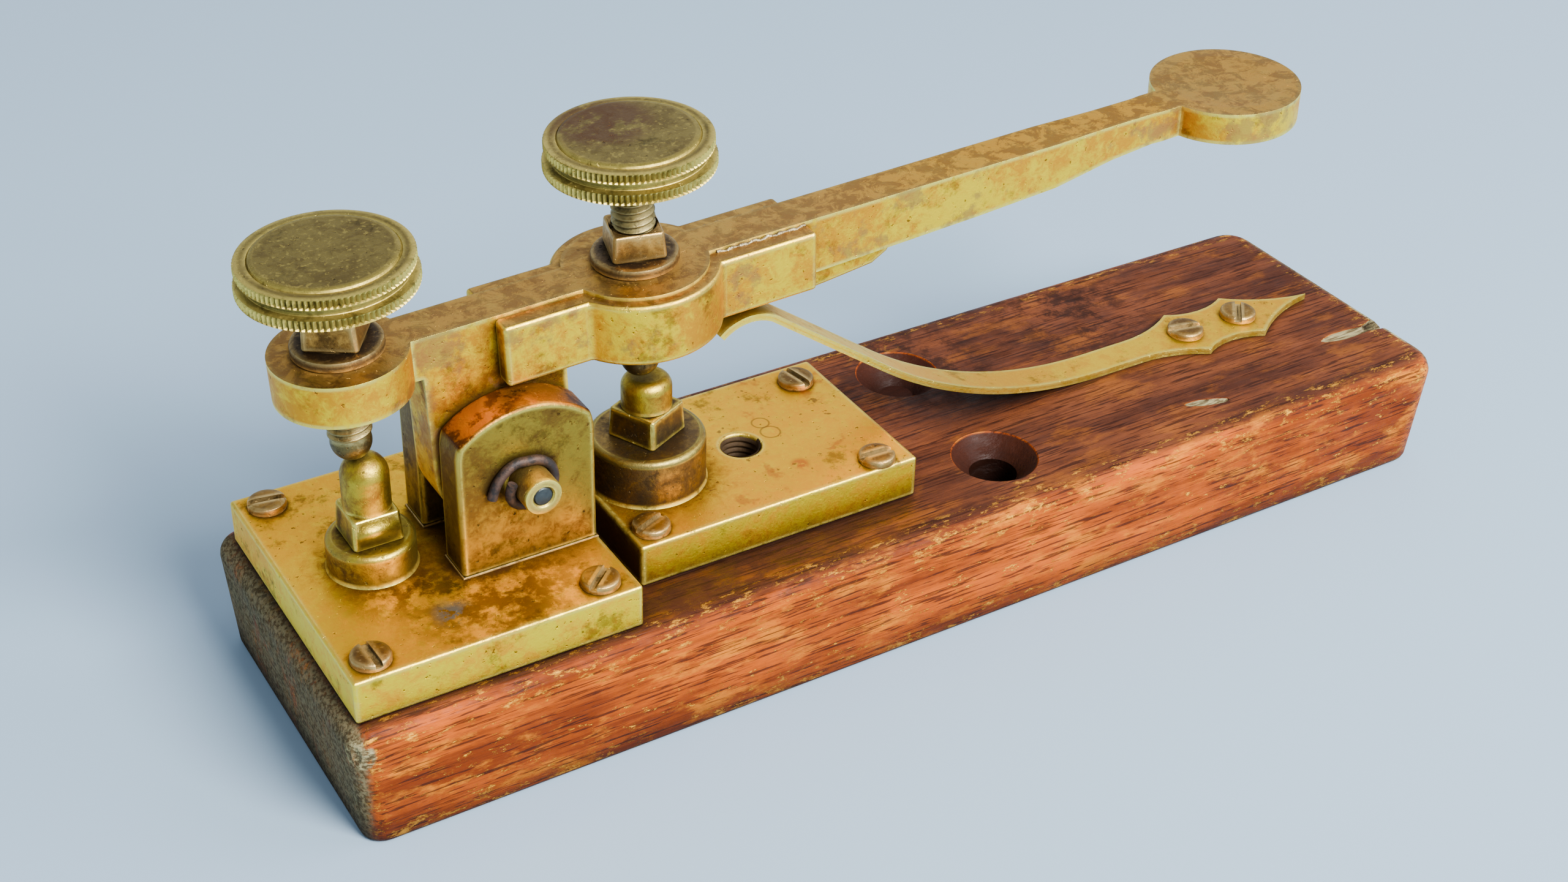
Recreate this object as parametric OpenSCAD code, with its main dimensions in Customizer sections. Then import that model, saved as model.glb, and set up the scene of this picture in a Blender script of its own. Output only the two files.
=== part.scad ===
// Straight morse key on a wooden base: a brass lever rocks on a pin between two ears,
// a leaf spring lifts its finger end, and two adjusting screws set the back stop and the
// front contact gap. Origin at the middle of the base's underside, +X towards the finger end.

/* [Base] */
// Length of the wooden base
base_l = 200; // [195:1:220]
// Width of the wooden base
base_w = 54.7; // [52:0.1:70]
// Height of the wooden base
base_h = 20.1; // [18:0.1:30]
// Rounding of the base's top and upright edges
base_edge_r = 3.4; // [1:0.1:5]
// Radius of the two fixing holes through the base
fix_hole_r = 3.85; // [2:0.05:4.5]
// Radius of the countersinks at the top of the fixing holes
fix_sink_r = 7.05; // [5:0.05:8]
// Distance between the two fixing holes
fix_pitch = 27.8; // [24:0.1:32]
// Place of the fixing holes along the base
fix_x = 14; // [10:0.5:18]

/* [Plates] */
// Sideways place of the lever's centre line on the base
line_y = -0.5; // [-1:0.1:1]
// Thickness of both brass plates
plate_t = 7; // [5:0.1:9]
// Back end of the pivot plate
pivot_plate_x = -97.9; // [-98:0.1:-97]
// Length of the pivot plate
pivot_plate_l = 43.2; // [43:0.1:44]
// Width of the pivot plate
pivot_plate_w = 47.4; // [45:0.1:50]
// Back end of the contact plate
contact_plate_x = -50.8; // [-51.5:0.1:-50.5]
// Length of the contact plate
contact_plate_l = 47.7; // [45:0.1:50]
// Width of the contact plate
contact_plate_w = 31.9; // [31:0.1:36]
// Thread radius of the terminal hole
terminal_r = 3.1; // [2:0.1:3.5]
// Place of the terminal hole along the base
terminal_x = -25.1; // [-27:0.1:-20]

/* [Pivot] */
// Place of the pivot pin along the base
pivot_x = -65.4; // [-66:0.1:-65]
// Height of the pivot pin's axis above the underside
pivot_z = 40.7; // [40:0.1:42]
// Width of the ears along the base
ear_w = 20.9; // [18:0.1:21]
// Thickness of each ear
ear_t = 6.3; // [5:0.1:7]
// Gap between the two ears
ear_gap = 7.8; // [7.4:0.1:8.5]
// Radius of the ears' rounded tops
ear_crown_r = 15; // [12:0.1:18]
// Height of the ears' tops above the pin's axis
ear_top = 11.9; // [11:0.1:12.1]
// Radius of the pivot pin
pin_r = 2.85; // [2:0.05:3.2]
// How far the pin stands out of the near ear
pin_reach = 5; // [4:0.1:7]
// Radius of the pin's steel core
core_r = 1.45; // [1:0.05:1.8]
// Thickness of the retaining wire
wire_d = 1.45; // [1:0.05:1.6]

/* [Lever] */
// Slope of the lever at rest, finger end up
tilt = 2.1; // [1.5:0.1:2.5]
// Width of the lever's arm
arm_w = 6.8; // [6:0.1:7]
// Height of the lever's top face above the pin, square to the lever
lever_top = 22.95; // [22.5:0.05:23.5]
// Height of the arm where it leaves the strap
arm_h = 9.1; // [8:0.1:9.5]
// Radius of the hub around the pin
hub_r = 10.6; // [9:0.1:11]
// Distance from the pin back to the back boss
back_reach = 21; // [20.5:0.1:21.5]
// Radius of the back boss
back_boss_r = 9.45; // [8:0.05:9.6]
// Height of the back boss
back_boss_h = 6.4; // [5:0.1:7]
// Distance from the pin forward to the front boss
front_reach = 23.3; // [23:0.1:24]
// Radius of the lever's own front boss
front_boss_r = 10.5; // [9.5:0.1:10.8]
// Distance from the pin to the finger pad's centre
pad_reach = 131; // [125:0.5:135]
// Radius of the finger pad
pad_r = 12.1; // [10:0.1:13]
// Thickness of the finger pad
pad_t = 5.2; // [4:0.1:6]

/* [Strap] */
// Outer radius of the strap around the front boss
strap_r = 12.2; // [12:0.1:12.8]
// Half of the width over the strap's cheeks
cheek_y = 6.3; // [5.5:0.1:6.5]
// Height of the strap
strap_h = 9.5; // [8.5:0.1:9.5]
// Step from the lever's top down to the strap's top
strap_step = 0.55; // [0.3:0.05:0.8]
// Distance from the pin to the strap's finger end
strap_end = 49.6; // [48:0.1:51]

/* [Screws] */
// Radius of the adjusting screws
screw_r = 3.1; // [2.5:0.05:3.1]
// Radius of the screws' rounded contact tips
tip_r = 2.9; // [2.5:0.1:2.9]
// Height of the back tip's centre above the pin, square to the lever
back_tip = 8.47; // [8.2:0.01:8.6]
// Height of the front tip's centre above the pin, square to the lever
front_tip = 6.85; // [6.84:0.01:7]
// Height of the back knob's underside above the pin, square to the lever
back_knob_z = 32.95; // [32:0.05:36]
// Height of the front knob's underside above the pin, square to the lever
front_knob_z = 37.95; // [36:0.05:40]
// Radius of the knobs' knurled rims
knob_r = 12.05; // [10:0.05:12.1]
// Height of each knob
knob_h = 4.85; // [4:0.05:6]
// Width across the flats of the lock nuts
lock_nut_w = 7.5; // [7:0.1:8]
// Height of the lock nuts
lock_nut_h = 4.1; // [3:0.1:4.5]
// Radius of the washers under the lock nuts
washer_r = 6.3; // [5.5:0.1:7]
// Thickness of those washers
washer_t = 1.7; // [1:0.1:1.8]

/* [Posts] */
// Place of the back post along the base
back_post_x = -85.3; // [-85.5:0.1:-85.1]
// Radius of the back post
back_post_r = 3.4; // [3:0.05:3.5]
// Radius of the back post's round boss
back_seat_r = 6.4; // [6:0.1:7]
// Height of the back post's round boss
back_seat_h = 5.1; // [4:0.1:5.5]
// Width across the flats of the back post's nut
back_nut_w = 7.2; // [7:0.1:8]
// Place of the front post along the base
front_post_x = -41.3; // [-41.5:0.1:-41.1]
// Height of the front post's top above the underside
front_post_top = 44.9; // [44.5:0.1:44.9]
// Radius of the front post
front_post_r = 3.8; // [3.4:0.05:3.9]
// Radius of the front post's round boss
front_seat_r = 8.85; // [8:0.05:9]
// Height of the front post's round boss
front_seat_h = 8; // [7:0.1:8.5]
// Width across the flats of the front post's nut
front_nut_w = 8.2; // [8:0.1:9]
// Height of both post nuts
post_nut_h = 4.75; // [4:0.05:5]

/* [Spring] */
// Thickness of the leaf spring
spring_t = 1.15; // [0.8:0.05:1.15]
// Width of the leaf spring's blade
spring_w = 5.8; // [5:0.1:7]
// Bend radius of the blade's long curve
spring_bend_r = 77; // [76:0.2:77]
// Place along the base where the blade leaves the wood
spring_lift_x = 44; // [43:0.1:45]

/* [Wood screws] */
// Radius of the plate screws' heads
head_r = 2.85; // [2.5:0.05:3]
// Height of the plate screws' heads
head_h = 1.3; // [1:0.1:1.6]
// Radius of the spring screws' heads
spring_head_r = 3.15; // [3:0.05:3.6]
// Radius of the wood screws' shanks
shank_r = 1.6; // [1.2:0.1:1.8]

/* [Hidden] */
$fn = 64;
over = 1;
fit = 0.05;
strap_gap = 0.02;
plate_top = base_h + plate_t;
// Plan places of the wood screws: four in each plate, two in the spring
pivot_screw_at = [[-93.8, -20.5], [-93.5, 19.3], [-59.6, -20.6], [-59.6, 19.3]];
contact_screw_at = [[-47.3, -12.8], [-47.3, 11.2], [-8.8, -13.8], [-8.2, 10.8]];
spring_screw_at = [[64.3, line_y], [76.2, line_y]];
// Directions of the same screws' slots, from +X
pivot_screw_turn = [-88, -9, 41, 40];
contact_screw_turn = [22, 15, -3, -79];
spring_screw_turn = [-12, 50];
shank_depth = 11;
pilot_r = shank_r + 0.02;
slot_w = 1.1;
slot_d = 0.8;
terminal_relief_r = 3.6;
terminal_relief_d = 6;
far_head_r = 4.2;
far_head_t = 1.6;
ear_out_y = ear_gap/2 + ear_t;
arm_under = lever_top - arm_h;
seat_round = 0.9;
stud_r = 2.6;
stud_floor = base_h + 1.5;
nut_draft = 0.3;
// The spring's straight stretch climbs at this angle to a kink under the lever's rib
spring_climb = 36;
spring_rise_l = 25.3;
curl_r = 7;
// Outline of the spring's ornamental foot, as half widths at places along the base
foot_flare = [55, spring_w/2];
foot_point_a = [64.9, 6.4];
foot_point_b = [77.3, 6.2];
foot_tip = [92.5, 0.25];

// Puts children in the sloping frame of the lever, with the pivot pin's axis at the origin
module in_lever() {
    translate([pivot_x, line_y, pivot_z]) rotate([0, -tilt, 0]) children();
}

// A disc on edge: a cylinder along Y from y0 to y1
module along_y(r, y0, y1) {
    translate([0, y1, 0]) rotate([90, 0, 0]) cylinder(r=r, h=y1 - y0);
}

module wood_base() {
    x = base_l/2 - base_edge_r;
    y = base_w/2 - base_edge_r;
    color([0.42, 0.17, 0.09]) difference() {
        hull() for (i = [-1, 1]) for (j = [-1, 1]) translate([i*x, j*y, 0]) {
            cylinder(r=base_edge_r, h=1, $fn=32);
            translate([0, 0, base_h - base_edge_r]) sphere(r=base_edge_r, $fn=32);
        }
        for (j = [-1, 1]) translate([fix_x, j*fix_pitch/2, 0]) {
            sink = fix_sink_r - fix_hole_r;
            translate([0, 0, -over]) cylinder(r=fix_hole_r, h=base_h + 2*over);
            translate([0, 0, base_h - sink]) cylinder(r1=fix_hole_r, r2=fix_sink_r + over, h=sink + over);
        }
        for (at = concat(pivot_screw_at, contact_screw_at, spring_screw_at))
            translate([at[0], at[1], base_h - shank_depth]) cylinder(r=pilot_r, h=shank_depth + over);
        translate([terminal_x, line_y, base_h - terminal_relief_d])
            cylinder(r=terminal_relief_r, h=terminal_relief_d + over);
    }
}

// A flat plate on the base with clearance holes for its four screws
module plate(x, l, w, screw_at) {
    difference() {
        translate([x, line_y - w/2, base_h]) cube([l, w, plate_t]);
        for (at = screw_at) translate([at[0], at[1], base_h - over])
            cylinder(r=shank_r + 0.2, h=plate_t + 2*over);
        children();
    }
}

module pivot_plate() {
    color([0.72, 0.5, 0.2]) plate(pivot_plate_x, pivot_plate_l, pivot_plate_w, pivot_screw_at)
        stud_hole(back_post_x);
}

module contact_plate() {
    color([0.74, 0.55, 0.22]) plate(contact_plate_x, contact_plate_l, contact_plate_w, contact_screw_at) {
        stud_hole(front_post_x);
        translate([terminal_x, line_y, base_h - over]) cylinder(r=terminal_r, h=plate_t + 2*over);
    }
}

// The threaded hole that takes a post's stud, from inside the plate up through the boss
module stud_hole(x) {
    translate([x, line_y, stud_floor]) cylinder(r=stud_r + fit, h=30);
}

// One upright ear, from y0 to y0 + ear_t, with the bore for the pin
module ear(y0) {
    color([0.78, 0.58, 0.2]) difference() {
        intersection() {
            translate([pivot_x - ear_w/2, line_y + y0, plate_top]) cube([ear_w, ear_t, 40]);
            union() {
                translate([pivot_x - ear_w/2, line_y + y0, plate_top]) cube([ear_w, ear_t, pivot_z - plate_top]);
                translate([pivot_x, line_y, pivot_z + ear_top - ear_crown_r])
                    along_y(ear_crown_r, y0, y0 + ear_t);
            }
        }
        translate([pivot_x, line_y, pivot_z]) along_y(pin_r, y0 - over, y0 + ear_t + over);
    }
}

module near_ear() {
    ear(-ear_out_y);
}

module far_ear() {
    ear(ear_gap/2);
}

// The brass sleeve of the pin, with a flat head behind the far ear
module pivot_pin() {
    color([0.78, 0.6, 0.22]) translate([pivot_x, line_y, pivot_z]) difference() {
        union() {
            along_y(pin_r, -ear_out_y - pin_reach, ear_out_y + far_head_t);
            along_y(far_head_r, ear_out_y, ear_out_y + far_head_t);
        }
        along_y(core_r, -ear_out_y - pin_reach - over, ear_out_y + far_head_t + over);
    }
}

module pin_core() {
    color([0.3, 0.32, 0.33]) translate([pivot_x, line_y, pivot_z])
        along_y(core_r, -ear_out_y - pin_reach, ear_out_y + far_head_t);
}

// Iron wire wound once round the pin against the near ear, with two bent ends
module retaining_wire() {
    ring_r = pin_r + wire_d/2;
    back_y = -ear_out_y - wire_d/2;
    color([0.22, 0.21, 0.2]) translate([pivot_x, line_y, pivot_z]) {
        translate([0, back_y, 0]) rotate([90, 0, 0])
            rotate_extrude() translate([ring_r, 0]) circle(d=wire_d, $fn=24);
        translate([0, back_y - wire_d, 0]) rotate([90, 160, 0])
            rotate_extrude(angle=100) translate([ring_r, 0]) circle(d=wire_d, $fn=24);
        translate([-ring_r - 1.9, back_y, -0.6]) rotate([0, 22, 0]) cylinder(d=wire_d, h=4.4, $fn=24);
    }
}

// A round boss standing on a plate, its top edge rounded, with a threaded hole for the post
module seat(x, r, h) {
    color([0.72, 0.52, 0.2]) difference() {
        translate([x, line_y, plate_top]) rotate_extrude() union() {
            square([r - seat_round, h]);
            square([r, h - seat_round]);
            translate([r - seat_round, h - seat_round]) circle(r=seat_round, $fn=32);
        }
        stud_hole(x);
    }
}

module back_post_boss() {
    seat(back_post_x, back_seat_r, back_seat_h);
}

module front_post_boss() {
    seat(front_post_x, front_seat_r, front_seat_h);
}

// A square nut with slightly sloping sides; w is its width half way up
module square_nut(w, h, hole_r) {
    difference() {
        union() {
            cylinder(d=(w + nut_draft)*sqrt(2), h=h*0.4, $fn=4);
            translate([0, 0, h*0.4]) cylinder(d=w*sqrt(2), h=h*0.3, $fn=4);
            translate([0, 0, h*0.7]) cylinder(d=(w - nut_draft)*sqrt(2), h=h*0.3, $fn=4);
        }
        translate([0, 0, -over]) cylinder(r=hole_r, h=h + 2*over);
    }
}

module back_post_nut() {
    color([0.66, 0.48, 0.18]) translate([back_post_x, line_y, plate_top + back_seat_h])
        rotate([0, 0, 45]) square_nut(back_nut_w, post_nut_h, stud_r + fit);
}

module front_post_nut() {
    color([0.6, 0.45, 0.18]) translate([front_post_x, line_y, plate_top + front_seat_h])
        rotate([0, 0, 71]) square_nut(front_nut_w, post_nut_h, stud_r + fit);
}

// The back contact: a pillar with a fully domed top, on a stud through its nut and boss
module back_post() {
    tip = tip_place(-back_reach, back_tip);
    reach = tip_r + back_post_r + fit;
    dome_z = tip[1] - sqrt(reach*reach - pow(tip[0] - back_post_x, 2));
    foot_z = plate_top + back_seat_h + post_nut_h;
    color([0.7, 0.55, 0.2]) translate([back_post_x, line_y, 0]) {
        translate([0, 0, stud_floor]) cylinder(r=stud_r, h=foot_z - stud_floor);
        translate([0, 0, foot_z]) cylinder(r=back_post_r, h=dome_z - foot_z);
        translate([0, 0, dome_z]) sphere(r=back_post_r);
    }
}

// World place [x, z] of a point given along the lever and square to it
function tip_place(along, up) = [pivot_x + along*cos(tilt) - up*sin(tilt),
    pivot_z + along*sin(tilt) + up*cos(tilt)];

// The front contact: a pillar with a rounded shoulder and a small flat top
module front_post() {
    shoulder = 1.7;
    foot_z = plate_top + front_seat_h + post_nut_h;
    h = front_post_top - foot_z;
    color([0.66, 0.52, 0.2]) translate([front_post_x, line_y, 0]) {
        translate([0, 0, stud_floor]) cylinder(r=stud_r, h=foot_z - stud_floor);
        translate([0, 0, foot_z]) rotate_extrude() union() {
            square([front_post_r - shoulder, h]);
            square([front_post_r, h - shoulder]);
            intersection() {
                translate([front_post_r - shoulder, h - shoulder]) circle(r=shoulder, $fn=48);
                square([front_post_r, h]);
            }
        }
    }
}

// Points of an arc about c, from angle a0 to a1 in n steps
function arc(c, r, a0, a1, n) = [for (i = [0:n]) c + r*[cos(a0 + (a1 - a0)*i/n), sin(a0 + (a1 - a0)*i/n)]];

// Points from a towards b, bowed sideways by sag at the middle; b itself is left out
function bow(a, b, sag, n) = [for (i = [0:n - 1]) let (t = i/n, d = b - a, s = 4*sag*t*(1 - t))
    a + d*t + s*[-d[1], d[0]]/norm(d)];

// Side outline of the spring: flat on the wood, a long curve, a straight climb and a curled end
module spring_side() {
    bend = [spring_lift_x, base_h + spring_bend_r];
    climb_dir = [-cos(spring_climb), sin(spring_climb)];
    inner_r = spring_bend_r - spring_t;
    low_kink = bend + spring_bend_r*[-sin(spring_climb), -cos(spring_climb)] + spring_rise_l*climb_dir;
    curl = low_kink + curl_r*[cos(240), sin(240)];
    polygon(concat(
        [[foot_tip[0], base_h]],
        arc(bend, spring_bend_r, 270, 270 - spring_climb, 12),
        arc(curl, curl_r, 60, 132, 6),
        arc(curl, curl_r + spring_t, 132, 60, 6),
        arc(bend, inner_r, 270 - spring_climb, 270, 12),
        [[foot_tip[0], base_h + spring_t]]));
}

// Plan outline of the spring: a plain blade, then a foot with two pairs of points and a spike
module spring_plan() {
    half = concat([[-40, spring_w/2]], bow(foot_flare, foot_point_a, -0.9, 5),
        bow(foot_point_a, foot_point_b, -1.9, 8), bow(foot_point_b, foot_tip, -1.5, 6), [foot_tip]);
    last = len(half) - 1;
    polygon(concat(half, [for (i = [last:-1:0]) [half[i][0], -half[i][1]]]));
}

module leaf_spring() {
    color([0.78, 0.58, 0.24]) difference() {
        intersection() {
            translate([0, line_y + base_w/2, 0]) rotate([90, 0, 0]) linear_extrude(base_w) spring_side();
            translate([0, line_y, 0]) linear_extrude(60) spring_plan();
        }
        for (at = spring_screw_at) translate([at[0], at[1], base_h - over])
            cylinder(r=shank_r + 0.2, h=spring_t + 2*over);
    }
}

// A slotted cheese-head wood screw whose head sits at z; turn is its slot's direction
module wood_screw(at, z, r, turn) {
    translate([at[0], at[1], 0]) difference() {
        union() {
            translate([0, 0, z]) cylinder(r=r, h=head_h);
            translate([0, 0, base_h - shank_depth + over]) cylinder(r=shank_r, h=z + shank_depth - base_h - over);
        }
        translate([0, 0, z + head_h - slot_d]) rotate([0, 0, turn])
            translate([-r - over, -slot_w/2, 0]) cube([2*r + 2*over, slot_w, slot_d + over]);
    }
}

module pivot_plate_screws() {
    color([0.6, 0.45, 0.2]) for (i = [0:3])
        wood_screw(pivot_screw_at[i], plate_top, head_r, pivot_screw_turn[i]);
}

module contact_plate_screws() {
    color([0.62, 0.46, 0.2]) for (i = [0:3])
        wood_screw(contact_screw_at[i], plate_top, head_r, contact_screw_turn[i]);
}

module spring_screws() {
    color([0.6, 0.45, 0.2]) for (i = [0:1])
        wood_screw(spring_screw_at[i], base_h + spring_t, spring_head_r, spring_screw_turn[i]);
}

// Side outline of the lever: hub round the pin, back arm, and the long arm thinning to the pad
module lever_side() {
    pad_start = pad_reach - pad_r + 1;
    union() {
        circle(r=hub_r);
        translate([-hub_r, 0]) square([2*hub_r, lever_top]);
        translate([-back_reach, lever_top - back_boss_h]) square([back_reach, back_boss_h]);
        polygon(concat([[0, lever_top], [0, arm_under], [front_reach + 27, arm_under], [79, arm_under + 1],
            [96, arm_under + 1.6]], bow([101, arm_under + 2.2], [pad_start, lever_top - pad_t], 0.5, 4),
            [[pad_start, lever_top - pad_t], [pad_start, lever_top]]));
    }
}

// Plan outline of the lever's arm, a little narrower towards the finger pad
module lever_plan() {
    back = arm_w/2;
    slim = arm_w/2 - 0.3;
    polygon([[-back_reach, back], [70, back], [105, slim], [pad_reach, slim],
        [pad_reach, -slim], [105, -slim], [70, -back], [-back_reach, -back]]);
}

module lever() {
    color([0.76, 0.56, 0.2]) in_lever() difference() {
        union() {
            intersection() {
                translate([0, base_w/2, 0]) rotate([90, 0, 0]) linear_extrude(base_w) lever_side();
                translate([0, 0, -hub_r]) linear_extrude(hub_r + lever_top) lever_plan();
            }
            translate([-back_reach, 0, lever_top - back_boss_h]) cylinder(r=back_boss_r, h=back_boss_h);
            translate([front_reach, 0, arm_under]) cylinder(r=front_boss_r, h=arm_h);
            translate([pad_reach, 0, lever_top - pad_t]) cylinder(r=pad_r, h=pad_t);
        }
        along_y(pin_r + fit, -arm_w, arm_w);
        for (x = [-back_reach, front_reach]) translate([x, 0, 0])
            cylinder(r=screw_r + fit, h=lever_top + over);
        pad_dish();
    }
}

// The shallow dish in the top of the finger pad
module pad_dish() {
    dish_r = 90;
    dish_depth = 0.45;
    translate([pad_reach, 0, lever_top + dish_r - dish_depth]) sphere(r=dish_r, $fn=180);
}

// One half of the strap: a half ring round the front boss with a cheek plate either side
module strap(side) {
    color([0.74, 0.55, 0.2]) in_lever() translate([0, 0, lever_top - strap_step - strap_h])
        linear_extrude(strap_h) difference() {
            intersection() {
                union() {
                    translate([front_reach, 0]) circle(r=strap_r);
                    translate([0, -cheek_y]) square([strap_end, 2*cheek_y]);
                }
                translate([-over, side > 0 ? arm_w/2 : -strap_r - over])
                    square([strap_end + 2*over, strap_r + over - arm_w/2]);
            }
            translate([front_reach, 0]) circle(r=front_boss_r + strap_gap);
        }
}

module near_strap() {
    strap(-1);
}

module far_strap() {
    strap(1);
}

// The thin rib under the arm that the leaf spring presses on
module lever_rib() {
    rib_w = 3;
    color([0.72, 0.54, 0.2]) in_lever() translate([0, rib_w/2, 0]) rotate([90, 0, 0]) linear_extrude(rib_w)
        polygon([[front_reach + strap_r, arm_under], [front_reach + strap_r, 9.65], [48, 9.65],
            [55, 10.2], [62.4, 10.9], [65, 12.3], [66.5, arm_under]]);
}

module washer(x) {
    color([0.42, 0.34, 0.2]) in_lever() translate([x, 0, lever_top]) difference() {
        union() {
            cylinder(r=washer_r, h=washer_t - 0.4);
            cylinder(r=washer_r - 0.4, h=washer_t);
        }
        translate([0, 0, -over]) cylinder(r=screw_r + 0.2, h=washer_t + 2*over);
    }
}

module back_washer() {
    washer(-back_reach);
}

module front_washer() {
    washer(front_reach);
}

module lock_nut(x, turn) {
    lift = 0.02;
    color([0.55, 0.42, 0.18]) in_lever() translate([x, 0, lever_top + washer_t + lift])
        rotate([0, 0, turn]) square_nut(lock_nut_w, lock_nut_h, screw_r + fit);
}

module back_lock_nut() {
    lock_nut(-back_reach, 10);
}

module front_lock_nut() {
    lock_nut(front_reach, 29.5);
}

// An adjusting screw from its ball-ended tip up to the underside of its knob
module adjusting_screw(x, tip, top) {
    color([0.5, 0.46, 0.3]) in_lever() translate([x, 0, 0]) {
        translate([0, 0, tip]) sphere(r=tip_r);
        translate([0, 0, tip]) cylinder(r=tip_r, h=1.6);
        translate([0, 0, tip + 1.6]) cylinder(r=screw_r, h=top - tip - 1.6);
    }
}

module back_screw() {
    adjusting_screw(-back_reach, back_tip, back_knob_z);
}

module front_screw() {
    adjusting_screw(front_reach, front_tip, front_knob_z);
}

// A turned knob: two knurled rims either side of a narrower neck, with a raised centre
module knob(x, z) {
    rim_t = 1.7;
    neck_r = knob_r - 1.1;
    cap_r = knob_r - 2.2;
    cap_t = 0.35;
    lift = 0.02;
    color([0.6, 0.52, 0.24]) in_lever() translate([x, 0, z + lift]) {
        cylinder(r=knob_r, h=rim_t);
        cylinder(r=neck_r, h=knob_h - cap_t);
        translate([0, 0, knob_h - cap_t - rim_t]) cylinder(r=knob_r - 0.3, h=rim_t);
        cylinder(r=cap_r, h=knob_h);
    }
}

module back_knob() {
    knob(-back_reach, back_knob_z);
}

module front_knob() {
    knob(front_reach, front_knob_z);
}

wood_base();
pivot_plate();
contact_plate();
near_ear();
far_ear();
pivot_pin();
pin_core();
retaining_wire();
back_post();
back_post_nut();
back_post_boss();
front_post();
front_post_nut();
front_post_boss();
leaf_spring();
pivot_plate_screws();
contact_plate_screws();
spring_screws();
lever();
near_strap();
far_strap();
lever_rib();
back_washer();
front_washer();
back_lock_nut();
front_lock_nut();
back_screw();
front_screw();
back_knob();
front_knob();
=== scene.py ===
"""A straight morse key: worn brass on a mahogany base, on a pale floor."""
import math

import bpy
from mathutils import Matrix, Vector


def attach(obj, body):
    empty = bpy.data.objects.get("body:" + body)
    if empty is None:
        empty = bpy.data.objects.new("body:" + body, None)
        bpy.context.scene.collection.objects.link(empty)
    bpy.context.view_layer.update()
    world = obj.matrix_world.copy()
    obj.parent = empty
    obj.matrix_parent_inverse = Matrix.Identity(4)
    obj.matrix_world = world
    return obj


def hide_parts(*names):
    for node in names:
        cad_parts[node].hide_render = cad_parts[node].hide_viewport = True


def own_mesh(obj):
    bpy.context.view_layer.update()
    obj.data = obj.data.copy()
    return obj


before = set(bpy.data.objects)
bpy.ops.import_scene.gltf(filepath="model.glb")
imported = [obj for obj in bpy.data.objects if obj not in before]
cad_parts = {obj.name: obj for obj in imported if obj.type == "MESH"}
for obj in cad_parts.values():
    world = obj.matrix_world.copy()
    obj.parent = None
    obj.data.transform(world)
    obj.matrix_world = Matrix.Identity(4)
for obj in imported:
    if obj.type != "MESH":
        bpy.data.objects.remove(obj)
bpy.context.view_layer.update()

# ---------------------------------------------------------------- sizes, in millimetres

MM = 0.001
LINE_Y = -0.5  # the lever, the posts and the spring stand on this line
BASE_TOP = 20.1
PLATE_TOP = 27.1
PIVOT = (-65.4, LINE_Y, 40.7)
TILT = math.radians(2.1)  # how far the lever rises towards its finger pad at rest

# the lever's own heights and places, counted from its pivot
LEVER_TOP = 22.95
ARM_LOW = 13.85
PAD_LOW = 17.75
STRAP_LOW, STRAP_TOP = 12.9, 22.4
BACK_U, FRONT_U, PAD_U = -21.0, 23.3, 131.0
BACK_BOSS_R, FRONT_BOSS_R, PAD_R = 9.45, 10.5, 12.1
BACK_BOSS_LOW = 16.55
DISH_R, DISH_DEPTH = 90, 0.5
ARM_HALF = 3.45
SCREW_BORE_R, PIN_BORE_R = 3.2, 2.9

# places on the base
HALF_LENGTH, HALF_WIDTH = 100.0, 27.35
FIXING_X, FIXING_Y = 14, 13.9
TERMINAL_X = -25.1
EAR_FACE, EAR_INNER = 10.2, 3.9
BACK_POST_X, FRONT_POST_X = -85.3, -41.35
SPRING_THICK, SPRING_HALF = 1.15, 9
TOP_FACE = (26.6 * MM, 26.95 * MM)  # where a plate's finish turns from its sides' to its top's

LEVER_PLACE = Matrix.Translation(Vector(PIVOT) * MM) @ Matrix.Rotation(-TILT, 4, "Y")


def at(x, y, z):
    """A point given in millimetres."""
    return Vector((x, y, z)) * MM


def arc(cx, cy, radius, start, end, steps):
    """Points on an arc, in degrees, both ends included."""
    turns = [math.radians(start + (end - start) * i / steps) for i in range(steps + 1)]
    return [(cx + radius * math.cos(t), cy + radius * math.sin(t)) for t in turns]


# ---------------------------------------------------------------- the modeller's moves

def only(piece):
    """Back to object mode with just this piece selected."""
    active = bpy.context.view_layer.objects.active
    if active and active.mode != "OBJECT":
        bpy.ops.object.mode_set(mode="OBJECT")
    bpy.ops.object.select_all(action="DESELECT")
    if piece:
        piece.select_set(True)
        bpy.context.view_layer.objects.active = piece


def fresh(name, primitive, **where):
    """A new primitive with its place in its mesh."""
    only(None)
    primitive(**where)
    piece = bpy.context.object
    piece.name = name
    bpy.ops.object.transform_apply(location=True, rotation=True, scale=True)
    return piece


def block(name, low, high):
    """A block between two corners in millimetres."""
    low, high = at(*low), at(*high)
    middle, size = (low + high) / 2, high - low
    return fresh(name, bpy.ops.mesh.primitive_cube_add, size=1, location=middle, scale=size)


def rod(name, radius, low, high, side=64, lying=False):
    """An upright cylinder between two points on its axis, or one lying along Y."""
    low, high = at(*low), at(*high)
    turn = (math.pi / 2, 0, 0) if lying else (0, 0, 0)
    return fresh(name, bpy.ops.mesh.primitive_cylinder_add, vertices=side, radius=radius * MM,
                 depth=(high - low).length, location=(low + high) / 2, rotation=turn)


def everything(piece):
    """Edit mode with the whole piece selected."""
    only(piece)
    bpy.ops.object.mode_set(mode="EDIT")
    bpy.ops.mesh.select_mode(type="VERT")
    bpy.ops.mesh.select_all(action="SELECT")


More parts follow.
